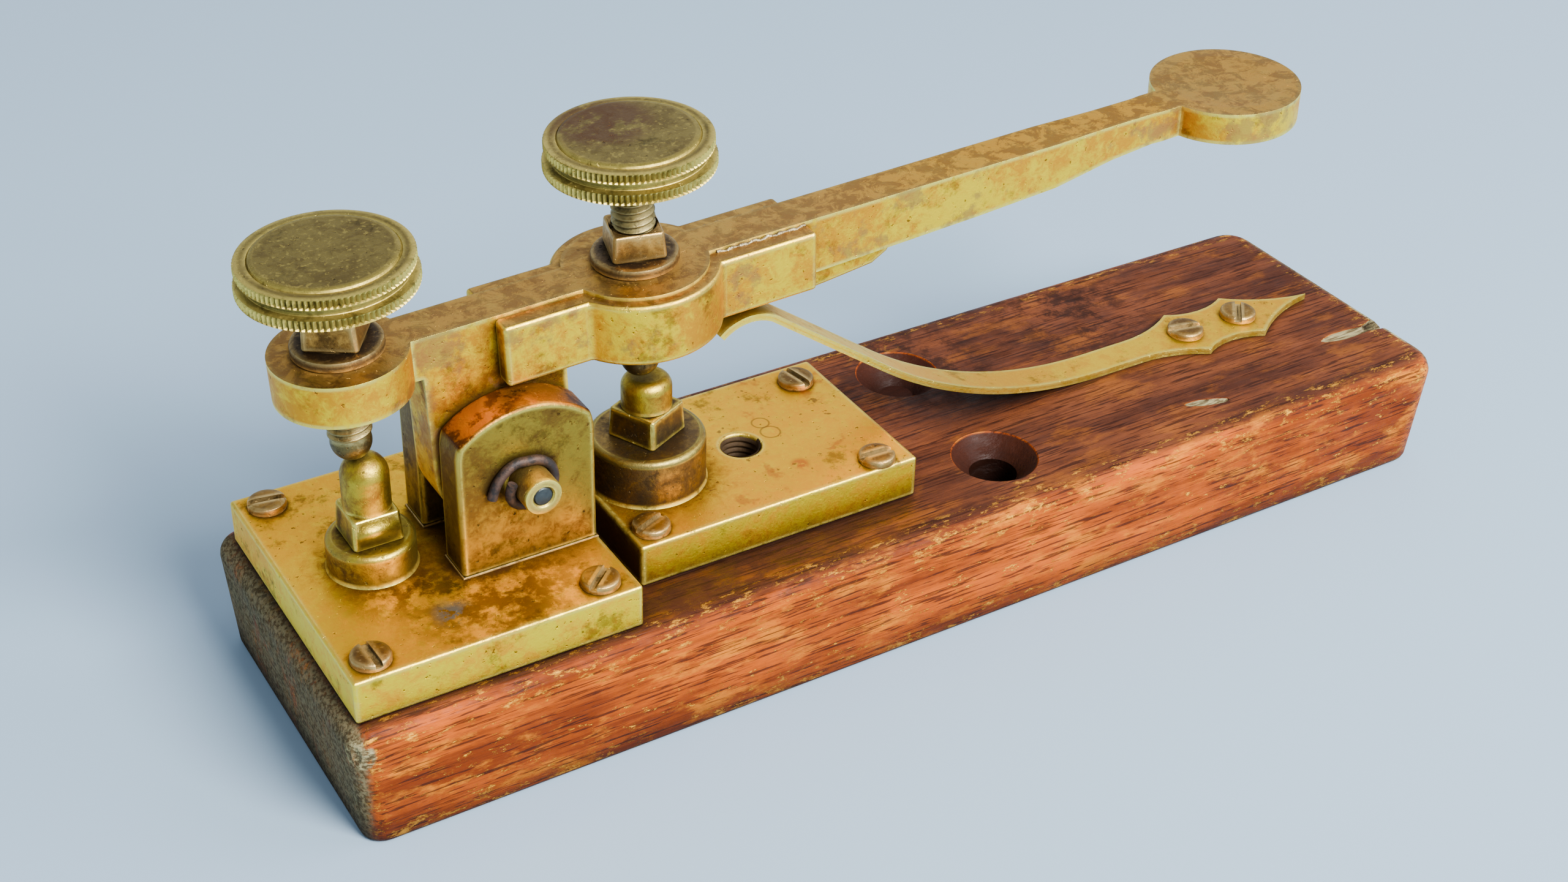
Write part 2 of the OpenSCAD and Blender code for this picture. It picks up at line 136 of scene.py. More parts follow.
def choose(piece, kind, test):
    """Edit mode with only the verts, edges or faces that pass the test."""
    only(piece)
    mesh = piece.data
    for parts in (mesh.vertices, mesh.edges, mesh.polygons):
        parts.foreach_set("select", [False] * len(parts))
    if kind == "FACE":
        for face in mesh.polygons:
            face.select = test(face.center / MM, face.normal)
    elif kind == "EDGE":
        for edge in mesh.edges:
            a, b = (mesh.vertices[i].co / MM for i in edge.vertices)
            edge.select = test(a, b)
    else:
        for vertex in mesh.vertices:
            vertex.select = test(vertex.co / MM)
    bpy.context.tool_settings.mesh_select_mode = (kind == "VERT", kind == "EDGE", kind == "FACE")
    bpy.ops.object.mode_set(mode="EDIT")


def drawn(name, points, close=True):
    """A chain of vertices pulled out one after another, closed into a face if asked."""
    points = [at(*p) for p in points]
    if close:
        points.append(points[0])
    only(None)
    bpy.ops.mesh.primitive_plane_add(size=MM, location=points[0])
    piece = bpy.context.object
    piece.name = name
    bpy.ops.object.mode_set(mode="EDIT")
    bpy.ops.mesh.merge(type="CENTER")
    for a, b in zip(points, points[1:]):
        bpy.ops.mesh.extrude_vertices_move(TRANSFORM_OT_translate={"value": b - a})
    bpy.ops.mesh.select_all(action="SELECT")
    bpy.ops.mesh.remove_doubles(threshold=1e-6)
    if close:
        bpy.ops.mesh.select_all(action="SELECT")
        bpy.ops.mesh.edge_face_add()
    bpy.ops.object.mode_set(mode="OBJECT")
    bpy.ops.object.transform_apply(location=True, rotation=True, scale=True)
    return piece


def pulled(piece, along):
    """A drawn face pulled into a solid."""
    everything(piece)
    bpy.ops.mesh.extrude_region_move(TRANSFORM_OT_translate={"value": at(*along)})
    bpy.ops.mesh.select_all(action="SELECT")
    bpy.ops.mesh.normals_make_consistent(inside=False)
    only(piece)
    return piece


def turned(name, profile, steps=72, closed=False):
    """A lathe job: a half profile of (radius, height) spun about the upright axis."""
    points = [(r, 0, z) for r, z in profile]
    piece = drawn(name, points + [points[0]] if closed else points, close=False)
    everything(piece)
    bpy.ops.mesh.spin(steps=steps, angle=2 * math.pi, center=(0, 0, 0), axis=(0, 0, 1))
    bpy.ops.mesh.select_all(action="SELECT")
    bpy.ops.mesh.remove_doubles(threshold=2e-6)
    bpy.ops.mesh.normals_make_consistent(inside=False)
    only(piece)
    return piece


def moved(piece, place):
    """Puts a piece where a matrix says and keeps the place in its mesh."""
    only(piece)
    piece.matrix_world = place @ piece.matrix_world
    bpy.ops.object.transform_apply(location=True, rotation=True, scale=True)
    return piece


def shifted(piece, x, y, z, turn=0.0):
    """Turns a piece about the upright axis, then moves it, in millimetres."""
    spin = Matrix.Rotation(math.radians(turn), 4, "Z")
    return moved(piece, Matrix.Translation(at(x, y, z)) @ spin)


def copied(piece, name):
    """A copy with its own mesh."""
    only(piece)
    bpy.ops.object.duplicate(linked=False)
    twin = bpy.context.object
    twin.name = name
    return twin


def applied(piece, kind, **settings):
    """Adds a modifier and applies it at once."""
    only(piece)
    modifier = piece.modifiers.new("step", kind)
    for key, value in settings.items():
        setattr(modifier, key, value)
    bpy.ops.object.modifier_apply(modifier=modifier.name)
    return piece


def carved(piece, tool, how="DIFFERENCE"):
    """Cuts, joins or crosses a piece with a tool, which is used up."""
    applied(piece, "BOOLEAN", operation=how, object=tool, solver="EXACT")
    bpy.data.objects.remove(tool)
    return piece


def eased(piece, width, segments=3, angle=30):
    """Rounds every sharp edge by width in millimetres and evens out the shading."""
    everything(piece)
    bpy.ops.mesh.remove_doubles(threshold=4e-6)
    bpy.ops.mesh.dissolve_limited(angle_limit=math.radians(0.4))
    only(piece)
    applied(piece, "BEVEL", width=width * MM, segments=segments, limit_method="ANGLE",
            angle_limit=math.radians(angle), use_clamp_overlap=True)
    return evened(piece)


def evened(piece, angle=35):
    """Smooth shading that keeps flat faces flat."""
    only(piece)
    bpy.ops.object.shade_smooth_by_angle(angle=math.radians(angle))
    return applied(piece, "WEIGHTED_NORMAL", keep_sharp=True, weight=80)


def wire(name, points, radius, side=4, smooth=True):
    """A round wire along points in millimetres, with closed ends."""
    piece = drawn(name, points, close=False)
    only(piece)
    bpy.ops.object.convert(target="CURVE")
    path = piece.data
    path.bevel_depth = radius * MM
    path.bevel_resolution = side
    path.use_fill_caps = True
    if smooth:
        for spline in path.splines:
            spline.type = "NURBS"
            spline.order_u = 3
            spline.use_endpoint_u = True
            spline.resolution_u = 6
    bpy.ops.object.convert(target="MESH")
    return piece


def joined(pieces, name):
    """Several shapes as one piece."""
    only(pieces[0])
    for piece in pieces[1:]:
        piece.select_set(True)
    bpy.ops.object.join()
    pieces[0].name = name
    return pieces[0]


def done(piece, body, node, finish):
    """The piece rides on its body, stands for its node and takes its finish."""
    piece.data.materials.clear()
    piece.data.materials.append(finish)
    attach(piece, body)
    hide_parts(node)


# ---------------------------------------------------------------- shader maths

class Value:
    """An output in a material; arithmetic on it adds Math nodes."""

    def __init__(self, finish, socket):
        self.finish = finish
        self.socket = socket

    def math(self, operation, a, b):
        return self.finish.add("ShaderNodeMath", {"operation": operation}, {0: a, 1: b})

    def __add__(self, other):
        return self.math("ADD", self, other)

    def __radd__(self, other):
        return self.math("ADD", other, self)

    def __sub__(self, other):
        return self.math("SUBTRACT", self, other)

    def __rsub__(self, other):
        return self.math("SUBTRACT", other, self)

    def __mul__(self, other):
        return self.math("MULTIPLY", self, other)

    def __abs__(self):
        return self.math("ABSOLUTE", self, 0.0)

    def most(self, other):
        """The greater of two values."""
        return self.math("MAXIMUM", self, other)

    def squared(self):
        return self.math("MULTIPLY", self, self)

    def root(self):
        return self.math("SQRT", self, 0.0)


class Finish:
    """A material and the nodes that make it."""

    def __init__(self, name):
        self.material = bpy.data.materials.new(name)
        self.material.use_nodes = True
        self.tree = self.material.node_tree
        self.shader = self.tree.nodes["Principled BSDF"]
        self.place = self.add("ShaderNodeTexCoord", output="Object")
        split = {"Vector": self.place}
        self.x, self.y, self.z = (
            self.add("ShaderNodeSeparateXYZ", values=split, output=k) for k in "XYZ")

    def add(self, kind, settings=(), values=(), output=0):
        """A node of any kind: its settings first, then the values or links of its sockets."""
        node = self.tree.nodes.new(kind)
        for key, value in dict(settings).items():
            setattr(node, key, value)
        for key, value in dict(values).items():
            self.feed(node.inputs[key], value)
        return Value(self, node.outputs[output])

    def feed(self, socket, value):
        """Links a value to a socket, or sets a plain number or colour on it."""
        if isinstance(value, Value):
            self.tree.links.new(value.socket, socket)
        elif isinstance(value, tuple) and len(value) == 3 and socket.type == "RGBA":
            socket.default_value = (*value, 1)
        else:
            socket.default_value = value

    def cloud(self, scale, detail=5.0, rough=0.6, stretch=(1, 1, 1), shift=(0, 0, 0), warp=0.0):
        """Noise of so many lumps per metre, stretched if asked."""
        values = {"Vector": self.place, "Scale": stretch, "Location": shift}
        spot = self.add("ShaderNodeMapping", values=values)
        values = {"Vector": spot, "Scale": scale, "Detail": detail, "Roughness": rough,
                  "Distortion": warp}
        return self.add("ShaderNodeTexNoise", values=values)

    def ease(self, value, low, high, start=0.0, end=1.0):
        """Runs smoothly from start to end while value goes from low to high."""
        values = {0: value, 1: low, 2: high, 3: start, 4: end}
        return self.add("ShaderNodeMapRange", {"interpolation_type": "SMOOTHSTEP"}, values)

    def blend(self, mask, a, b):
        """Colour a where the mask is 0 and b where it is 1."""
        return self.add("ShaderNodeMix", {"data_type": "RGBA"}, {0: mask, 6: a, 7: b}, output=2)

    def upward(self):
        """How far the surface faces up, -1 to 1."""
        face = self.add("ShaderNodeNewGeometry", output="Normal")
        return self.add("ShaderNodeSeparateXYZ", values={"Vector": face}, output="Z")

    def edges(self, width):
        """1 on corners and 0 on flats."""
        soft = self.add("ShaderNodeBevel", {"samples": 6}, {"Radius": width * MM})
        true = self.add("ShaderNodeNewGeometry", output="Normal")
        same = self.add("ShaderNodeVectorMath", {"operation": "DOT_PRODUCT"},
                        {0: soft, 1: true}, output="Value")
        return self.ease(1 - same, 0.003, 0.035)

    def corners(self, reach):
        """1 in inner corners and under neighbours, 0 in the open."""
        shade = self.add("ShaderNodeAmbientOcclusion", {"samples": 6},
                         {"Distance": reach * MM}, output="AO")
        return 1 - shade

    def spot(self, x, y, radius, soft=0.5, z=None):
        """1 near a place in millimetres, fading out; z is left out for one seen from above."""
        away = (self.x - x * MM).squared() + (self.y - y * MM).squared()
        if z is not None:
            away = away + (self.z - z * MM).squared()
        return self.ease(away.root(), radius * MM * (1 - soft), radius * MM, 1.0, 0.0)

    def surface(self, color, roughness, height, metallic=1.0, strength=0.8, reach=0.18, **fixed):
        """Feeds the shader; height drives a bump."""
        self.feed(self.shader.inputs["Base Color"], color)
        self.feed(self.shader.inputs["Roughness"], roughness)
        self.feed(self.shader.inputs["Metallic"], metallic)
        values = {"Height": height, "Strength": strength, "Distance": reach * MM}
        self.feed(self.shader.inputs["Normal"], self.add("ShaderNodeBump", values=values))
        for key, value in fixed.items():
            self.shader.inputs[key.replace("_", " ")].default_value = value
        return self.material


def srgb(r, g, b):
    """A screen colour, 0 to 255, as linear light."""
    parts = (c / 255 for c in (r, g, b))
    return tuple(c / 12.92 if c <= 0.04 else ((c + 0.055) / 1.055) ** 2.4 for c in parts)


# ---------------------------------------------------------------- finishes

def aged_brass(f, pale, deep, dark, grime_and_shade=0.55, wear=0.8, shift=0.0, tops=0.0, rub=None, reach=7.0):
    """The shared build-up of old brass: patina clouds, browner upward faces when asked (partly
    tarnish, partly painted shade), soiling with painted shade in corners and under neighbours, worn
    edges, pits.
    """
    broad = f.cloud(55, 6, 0.62, shift=(shift, shift, 0))
    fine = f.cloud(480, 9, 0.74, shift=(shift, 0, shift), warp=0.4)
    grain = f.cloud(2600, 4, 0.65)
    patina = f.ease(broad * 0.5 + fine * 0.5, 0.43, 0.57)
    color = f.blend(patina, pale, deep)
    # Painted shade, partly tarnish: upward faces are pushed towards the deep colour by the tops
    # amount.
    if tops:
        facing = f.ease(f.upward(), 0.6, 0.95) * tops
        color = f.blend(facing * f.ease(fine, 0.3, 0.6, 0.7, 1.0), color, deep)
    stain = f.ease(f.cloud(140, 8, 0.72, shift=(0, shift, shift)), 0.54, 0.66)
    color = f.blend(stain * 0.62, color, dark)
    glints = f.ease(f.cloud(1300, 4, 0.6, shift=(shift, 3, 0)), 0.56, 0.66)
    color = f.blend(glints * 0.3, color, rub or pale)
    specks = f.ease(f.cloud(1100, 3, 0.6, shift=(shift, shift, shift)), 0.66, 0.71)
    color = f.blend(specks * 0.75, color, dark)
    # Painted shade with some soiling: ambient occlusion darkens corners, the feet of parts and
    # faces under their neighbours.
    grime_and_shade_mask = f.ease(f.corners(reach) + (fine - 0.5) * 0.6, 0.13, 0.45) * grime_and_shade
    color = f.blend(grime_and_shade_mask, color, dark)
    rubbed = f.edges(1.2) * f.ease(fine, 0.36, 0.52, 0.25, 1.0) * wear
    color = f.blend(rubbed, color, rub or srgb(255, 236, 110))
    roughness = 0.4 + patina * 0.08 + grime_and_shade_mask * 0.25 + specks * 0.12 + stain * 0.1 \
        - rubbed * 0.12 + (grain - 0.5) * 0.2
    height = fine * 0.5 + grain * 0.3 - specks * 0.5 - grime_and_shade_mask * 0.1 - stain * 0.12
    return color, roughness, height


def plate_brass(name="plate_brass", shift=0.0):
    """Golden sides with a browner, smudged top; the browner top is partly tarnish and partly
    painted shade.
    """
    f = Finish(name)
    pale, deep, dark = srgb(255, 218, 14), srgb(250, 180, 22), srgb(70, 44, 20)
    color, roughness, height = aged_brass(f, pale, deep, dark, grime_and_shade=0.95, wear=0.95,
                                          shift=shift, tops=0.8)
    return f, color, roughness, height


def pivot_plate_finish():
    """Orange-brown patina with dark smudges and a grey splash."""
    f, color, roughness, height = plate_brass("pivot_plate_finish", 0.3)
    top = f.ease(f.z, *TOP_FACE)
    ragged = f.cloud(260, 6, 0.7)
    smudge = f.spot(-73, -15, 20, 0.8) * f.ease(ragged, 0.38, 0.56)
    smudge = smudge.most(f.spot(-84, -8, 11, 0.8) * f.ease(ragged, 0.4, 0.56))
    color = f.blend(smudge * top * 0.85, color, srgb(84, 52, 28))
    splash = f.spot(-80.3, -16.6, 4.2, 0.9) * f.ease(f.cloud(420, 5, 0.7), 0.43, 0.52)
    color = f.blend(splash * top, color, srgb(112, 104, 92))
    return f.surface(color, roughness + splash * top * 0.2, height)


def contact_plate_finish():
    """Golden top with dark specks, faint rings and orange spots."""
    f, color, roughness, height = plate_brass("contact_plate_finish", 1.7)
    top = f.ease(f.z, *TOP_FACE)
    orange = f.ease(f.cloud(170, 4, 0.6, shift=(2, 5, 0)), 0.62, 0.7)
    color = f.blend(orange * top * 0.6, color, srgb(206, 112, 36))
    dots = f.ease(f.cloud(520, 3, 0.5, shift=(7, 1, 0)), 0.66, 0.7)
    color = f.blend(dots * top * 0.7, color, srgb(110, 66, 34))
    for x, y, radius in ((-19.2, 0.4, 1.5), (-19.3, 3.3, 1.3)):
        ring = f.spot(x, y, radius + 0.3, 0.12) * (1 - f.spot(x, y, radius, 0.12))
        color = f.blend(ring * top * 0.6, color, srgb(120, 74, 30))
    blot = f.spot(-19.7, -9.2, 2.0, 0.7) * top * f.ease(f.cloud(420, 5, 0.7), 0.4, 0.5)
    color = f.blend(blot * 0.8, color, srgb(214, 104, 30))
    return f.surface(color, roughness, height)


def ear_brass():
    """Olive-gold faces under a brown band over the crown."""
    f = Finish("ear_brass")
    pale, deep, dark = srgb(152, 128, 44), srgb(114, 86, 36), srgb(44, 30, 20)
    color, roughness, height = aged_brass(f, pale, deep, dark, grime_and_shade=0.75, wear=0.9, shift=3.1)
    up = f.upward()
    band = f.ease(up, 0.25, 0.6) * f.ease(f.cloud(150, 6, 0.6), 0.3, 0.5, 0.6, 1.0)
    color = f.blend(band, color, srgb(160, 102, 34))
    smudge = band * f.ease(f.cloud(180, 6, 0.7, shift=(3, 3, 3)), 0.5, 0.58)
    color = f.blend(smudge * 0.85, color, srgb(70, 40, 20))
    return f.surface(color, roughness, height)


def lever_brass():
    """Golden yellow sides, brown-grey tops near the bosses and golden brown along the arm; the
    darker tops are partly patina and partly painted shade.
    """
    f = Finish("lever_brass")
    pale, deep, dark = srgb(252, 208, 16), srgb(222, 152, 24), srgb(70, 46, 24)
    color, roughness, height = aged_brass(f, pale, deep, dark, grime_and_shade=0.9, wear=0.95, shift=5.3)
    up = f.upward()
    mottle = f.cloud(330, 9, 0.76, warp=0.5)
    brown = f.blend(f.ease(mottle, 0.44, 0.56), srgb(188, 144, 68), srgb(140, 104, 56))
    golden = f.blend(f.ease(mottle, 0.46, 0.54), srgb(214, 158, 44), srgb(156, 110, 38))
    arm = f.ease(f.x, -20 * MM, 15 * MM) * f.ease(f.x, 48 * MM, 56 * MM, 1.0, 0.2)
    top_color = f.blend(arm, brown, golden)
    # Painted shade, partly patina: the upward faces take the darker top colours.
    color = f.blend(f.ease(up, 0.8, 0.96) * 0.9, color, top_color)
    pink = f.ease(f.cloud(120, 6, 0.66, shift=(1, 9, 4)), 0.54, 0.62)
    pink = pink * f.ease(up, 0.2, 0.6, 1.0, 0.0)
    color = f.blend(pink * 0.6, color, srgb(160, 116, 74))
    return f.surface(color, roughness, height)


def post_brass(name="post_brass", pale=srgb(190, 164, 46), deep=srgb(140, 106, 40)):
    """Worn, dull gold of the contact posts."""
    f = Finish(name)
    dark = srgb(50, 40, 30)
    color, roughness, height = aged_brass(f, pale, deep, dark, grime_and_shade=0.75, wear=0.9, shift=7.7)
    return f.surface(color, roughness - 0.05, height)


def dark_brass(name="dark_brass", pale=srgb(104, 84, 58), deep=srgb(74, 60, 44)):
    """Tarnished brass of nuts, washers and seams."""
    f = Finish(name)
    dark = srgb(44, 34, 24)
    color, roughness, height = aged_brass(f, pale, deep, dark, grime_and_shade=0.7, wear=0.85, shift=9.2,
                                          rub=srgb(214, 180, 110))
    return f.surface(color, roughness, height)


def knob_brass():
    """Olive tarnish over bright rims, with a reddish stain on the front knob."""
    f = Finish("knob_brass")
    pale, deep, dark = srgb(132, 115, 54), srgb(104, 87, 42), srgb(34, 28, 18)
    color, roughness, height = aged_brass(f, pale, deep, dark, grime_and_shade=0.75, wear=1.0, shift=11.4,
                                          rub=srgb(220, 196, 96), reach=1.6)
    ragged = f.ease(f.cloud(300, 7, 0.7), 0.36, 0.48)
    stain = f.spot(-45.5, 4.2, 9.0, 0.45) * ragged * f.ease(f.z, 70 * MM, 75 * MM)
    color = f.blend(stain * 0.85, color, srgb(92, 60, 36))
    return f.surface(color, roughness, height)


def thread_brass():
    """Greenish-grey threads with bright crests."""
    f = Finish("thread_brass")
    pale, deep, dark = srgb(112, 98, 58), srgb(78, 66, 42), srgb(24, 19, 13)
    color, roughness, height = aged_brass(f, pale, deep, dark, grime_and_shade=0.9, wear=1.0, shift=13.9,
                                          rub=srgb(176, 160, 104), reach=0.9)
    return f.surface(color, roughness, height)


def screw_brass():
    """Brown wood screws with a bright worn rim."""
    f = Finish("screw_brass")
    pale, deep, dark = srgb(156, 116, 50), srgb(112, 80, 40), srgb(30, 22, 15)
    color, roughness, height = aged_brass(f, pale, deep, dark, grime_and_shade=0.95, wear=1.0, shift=17.3,
                                          rub=srgb(232, 196, 124), reach=1.6)
    return f.surface(color, roughness, height)


def spring_brass():
    """Golden leaf with bright worn edges and dark dots."""
    f = Finish("spring_brass")
    pale, deep, dark = srgb(255, 208, 34), srgb(240, 178, 36), srgb(78, 52, 24)
    color, roughness, height = aged_brass(f, pale, deep, dark, grime_and_shade=0.6, wear=1.0, shift=19.8)
    return f.surface(color, roughness, height)


def pin_brass():
    """Light brown brass with bright worn edges."""
    f = Finish("pin_brass")
    pale, deep, dark = srgb(220, 184, 90), srgb(160, 122, 62), srgb(60, 44, 28)
    color, roughness, height = aged_brass(f, pale, deep, dark, grime_and_shade=0.6, wear=1.0, shift=23.1)
    return f.surface(color, roughness, height)


def core_steel():
    """Dull slate steel."""
    f = Finish("core_steel")
    cloud = f.cloud(700, 5, 0.6)
    color = f.blend(cloud, srgb(52, 58, 60), srgb(84, 90, 90))
    return f.surface(color, 0.35 + cloud * 0.3, cloud)


def hole_shade_brown():
    """Dark brown down a threaded hole: painted shade with some soiling."""
    f = Finish("hole_shade_brown")
    cloud = f.cloud(900, 5, 0.6)
    color = f.blend(cloud, srgb(40, 28, 16), srgb(74, 54, 28))
    return f.surface(color, 0.6 + cloud * 0.2, cloud, metallic=0.6)


def iron_wire():
    """Dark iron with brown rust."""
    f = Finish("iron_wire")
    cloud = f.cloud(600, 6, 0.65)
    color = f.blend(f.ease(cloud, 0.4, 0.62), srgb(46, 42, 42), srgb(84, 64, 54))
    return f.surface(color, 0.45 + cloud * 0.25, cloud, metallic=0.7)


def solder():
    """Grey solder, bright where it is rubbed."""
    f = Finish("solder")
    cloud = f.cloud(900, 6, 0.7)
    color = f.blend(f.ease(cloud, 0.35, 0.65), srgb(190, 178, 144), srgb(126, 110, 80))
    return f.surface(color, 0.35 + cloud * 0.3, cloud)


def mahogany():
    """Polished red mahogany: dark streaks and pores along the board, worn edges, weathered ends."""
    f = Finish("mahogany")
    wave = f.cloud(110, 4, 0.55, stretch=(0.14, 1, 1), warp=0.5)
    streak = f.cloud(700, 7, 0.66, stretch=(0.07, 1, 1), warp=0.4)
    pore = f.cloud(2300, 4, 0.62, stretch=(0.05, 1, 1), warp=0.2)
    patch = f.cloud(60, 6, 0.64, shift=(4, 4, 4))
    body = f.ease(wave * 0.4 + streak * 0.35 + patch * 0.25, 0.42, 0.6)
    red = f.blend(body, srgb(104, 40, 2), srgb(188, 84, 0))
    up = f.upward()
    top = f.ease(up, 0.75, 0.99)
    # Painted shade: the top face takes a darker copy of the red, and the bright orange patches are
    # kept mostly to the sides and ends.
    shaded_top_red = f.blend(body, srgb(52, 28, 20), srgb(94, 54, 34))
    red = f.blend(top * 0.9, red, shaded_top_red)
    orange = f.ease(f.cloud(190, 7, 0.7, stretch=(0.4, 1, 1)), 0.5, 0.64) * (1 - top * 0.8)
    red = f.blend(orange * 0.65, red, srgb(210, 120, 4))
    dark = f.ease(streak, 0.53, 0.66) * f.ease(patch, 0.35, 0.6, 0.3, 1.0)
    red = f.blend(dark * 0.8, red, srgb(54, 24, 12))
    red = f.blend(f.ease(pore, 0.54, 0.6) * 0.8, red, srgb(36, 13, 7))
    cloudy = f.ease(f.cloud(170, 8, 0.74), 0.42, 0.56)
    smoky = f.ease(f.cloud(230, 8, 0.74, shift=(2, 2, 2)), 0.45, 0.58)
    soot = f.spot(18, 15, 21, 0.75) * cloudy * top
    soot = soot.most(f.spot(52, 16, 24, 0.85) * smoky * top)
    red = f.blend(soot * 0.8, red, srgb(34, 18, 14))
    near_edge = f.edges(5.0)
    fleck_noise = f.cloud(800, 9, 0.8, stretch=(0.35, 1, 1))
    border = f.ease(abs(f.y), 20 * MM, 23 * MM).most(f.ease(abs(f.x), 93 * MM, 96 * MM))
    flecks = f.ease(fleck_noise, 0.535, 0.57) * f.ease(near_edge, 0.0, 0.6, 0.0, 1.0) * border
    flecks = flecks.most(f.ease(fleck_noise, 0.59, 0.62) * (1 - top) * 0.8 * border)
    red = f.blend(flecks * 0.85, red, srgb(240, 168, 40))
    weather = f.ease(f.cloud(200, 8, 0.78, stretch=(1, 1, 0.6)), 0.3, 0.48, 0.25, 1.0)
    end = f.ease(abs(f.x), 97.2 * MM, 98.6 * MM) * weather
    grey = f.blend(f.ease(f.cloud(1500, 5, 0.7), 0.4, 0.6), srgb(62, 57, 36), srgb(116, 108, 78))
    red = f.blend(end * 0.92, red, grey)
    bare = f.spot(92, -13.1, 9.5, 0.1).most(f.spot(54.3, -18.2, 4.8, 0.1))
    bare = bare * f.ease(f.z, 20.04 * MM, 19.92 * MM)
    corner = f.spot(-98.9, -26.3, 2.6, 0.2, z=16.6) * f.ease(f.cloud(500, 5, 0.7), 0.4, 0.5)
    bare = bare.most(corner)
    red = f.blend(bare, red, f.blend(f.ease(pore, 0.4, 0.6), srgb(158, 148, 108), srgb(84, 70, 46)))
    # Painted shade: the countersinks and the bores below them are painted a very dark brown.
    sink = f.spot(FIXING_X, -FIXING_Y, 9.6, 0.1).most(f.spot(FIXING_X, FIXING_Y, 9.6, 0.1))
    sink = sink * f.ease(f.z, 20.14 * MM, 19.8 * MM)
    # Painted shade: ambient occlusion darkens the holes and the wood round the parts standing on
    # it.
    hollow_shade = f.ease(f.corners(10.0), 0.12, 0.5)
    red = f.blend(sink, red, f.blend(streak, srgb(30, 13, 8), srgb(66, 30, 18)))
    red = f.blend(hollow_shade * 0.9, red, srgb(20, 9, 6))
    gloss = f.ease(f.cloud(240, 7, 0.74), 0.35, 0.65)
    roughness = 0.4 + gloss * 0.25 + soot * 0.15 + end * 0.3 + bare * 0.4 \
        + dark * 0.1 - near_edge * 0.1
    height = streak * -0.45 + pore * -0.5 - dark * 0.25 - flecks * 0.4 \
        + f.cloud(1100, 5, 0.65) * 0.3
    return f.surface(red, roughness, height, metallic=0.0, reach=0.25, Specular_IOR_Level=0.1)


# ---------------------------------------------------------------- wooden base

def make_base():
    """The board: soft edges, two countersunk fixing holes, a hole under the terminal and chips."""
    top_round, foot_round = 3.2, 0.9
    board = block("base_board", (-HALF_LENGTH, -HALF_WIDTH, 0), (HALF_LENGTH, HALF_WIDTH, BASE_TOP))
    for corner_r, end in ((3.4, -1), (5.4, 1)):
        choose(board, "EDGE", lambda a, b: abs(a.z - b.z) > 1 and a.x * end > 99)
        bpy.ops.mesh.bevel(offset=corner_r * MM, offset_type="OFFSET", segments=6, affect="EDGES")
    choose(board, "EDGE", lambda a, b: min(a.z, b.z) > BASE_TOP - 0.1)
    bpy.ops.mesh.bevel(offset=top_round * MM, offset_type="OFFSET", segments=7, affect="EDGES")
    choose(board, "VERT", lambda v: v.z < 0.1)
    bpy.ops.transform.resize(value=(0.988, 0.985, 1), center_override=(0, 0, 0))
    choose(board, "EDGE", lambda a, b: max(a.z, b.z) < 0.1)
    bpy.ops.mesh.bevel(offset=foot_round * MM, offset_type="OFFSET", segments=3, affect="EDGES")
    only(board)
    for y in (-FIXING_Y, FIXING_Y):
        carved(board, rod("drill", 3.85, (FIXING_X, y, -1), (FIXING_X, y, 25), 72))
        sink = fresh("sink", bpy.ops.mesh.primitive_cone_add, vertices=72,
                     radius1=2.85 * MM, radius2=9.05 * MM, depth=6.2 * MM,
                     location=at(FIXING_X, y, BASE_TOP + 2.0 - 3.1))
        carved(board, sink)
    carved(board, rod("relief", 3.6, (TERMINAL_X, LINE_Y, 14), (TERMINAL_X, LINE_Y, 25)))
    chips = [((90.5, -13.2, 20.35), (6.0, 1.3, 1.1), -3, 1),
             ((98.3, -13.1, 20.3), (4.2, 1.6, 2.6), 5, 5),
             ((54.3, -18.2, 20.25), (4.2, 1.0, 0.8), -16, 2),
             ((-99.6, -26.6, 16.8), (1.0, 1.1, 3.0), 12, 3),
             ((-30.0, -27.4, 19.7), (3.0, 0.6, 0.6), 3, 4)]
    for place, size, turn, seed in chips:
        tool = fresh("chip", bpy.ops.mesh.primitive_ico_sphere_add, subdivisions=3, radius=MM)
        everything(tool)
        bpy.ops.transform.vertex_random(offset=0.12 * MM, seed=seed)
        only(tool)
        moved(tool, Matrix.Diagonal((*size, 1)))
        shifted(tool, *place, turn)
        carved(board, tool)
    eased(board, 0.5, 2, 38)
    done(board, "base", "wood_base", mahogany())


# ---------------------------------------------------------------- plates and ears

def make_plates():
    """The pivot plate, and the contact plate with its threaded terminal hole."""
    pivot_plate = block("pivot_plate_slab", (-97.9, -24.2, BASE_TOP), (-54.7, 23.2, PLATE_TOP))
    eased(pivot_plate, 0.45)
    done(pivot_plate, "base", "pivot_plate", pivot_plate_finish())
    contact_plate = block("contact_plate_slab", (-50.8, -16.4, BASE_TOP), (-3.07, 15.45, PLATE_TOP))
    carved(contact_plate, rod("tap", 3.1, (TERMINAL_X, LINE_Y, 10), (TERMINAL_X, LINE_Y, 40)))
    eased(contact_plate, 0.45)
    done(contact_plate, "base", "contact_plate", contact_plate_finish())
    turns, pitch = 6, 1.0
    thread = [(3.12, 0, 0), (2.8, 0, 0.42), (2.8, 0, 0.58), (3.12, 0, pitch)]
    lining = drawn("terminal_thread", thread, close=False)
    applied(lining, "SCREW", axis="Z", angle=2 * math.pi, screw_offset=pitch * MM,
            iterations=turns, steps=40, render_steps=40, use_merge_vertices=True,
            use_normal_flip=True)
    shifted(lining, TERMINAL_X, LINE_Y, BASE_TOP + 0.3)
    evened(lining, 40)
    done(lining, "base", "contact_plate", hole_shade_brown())


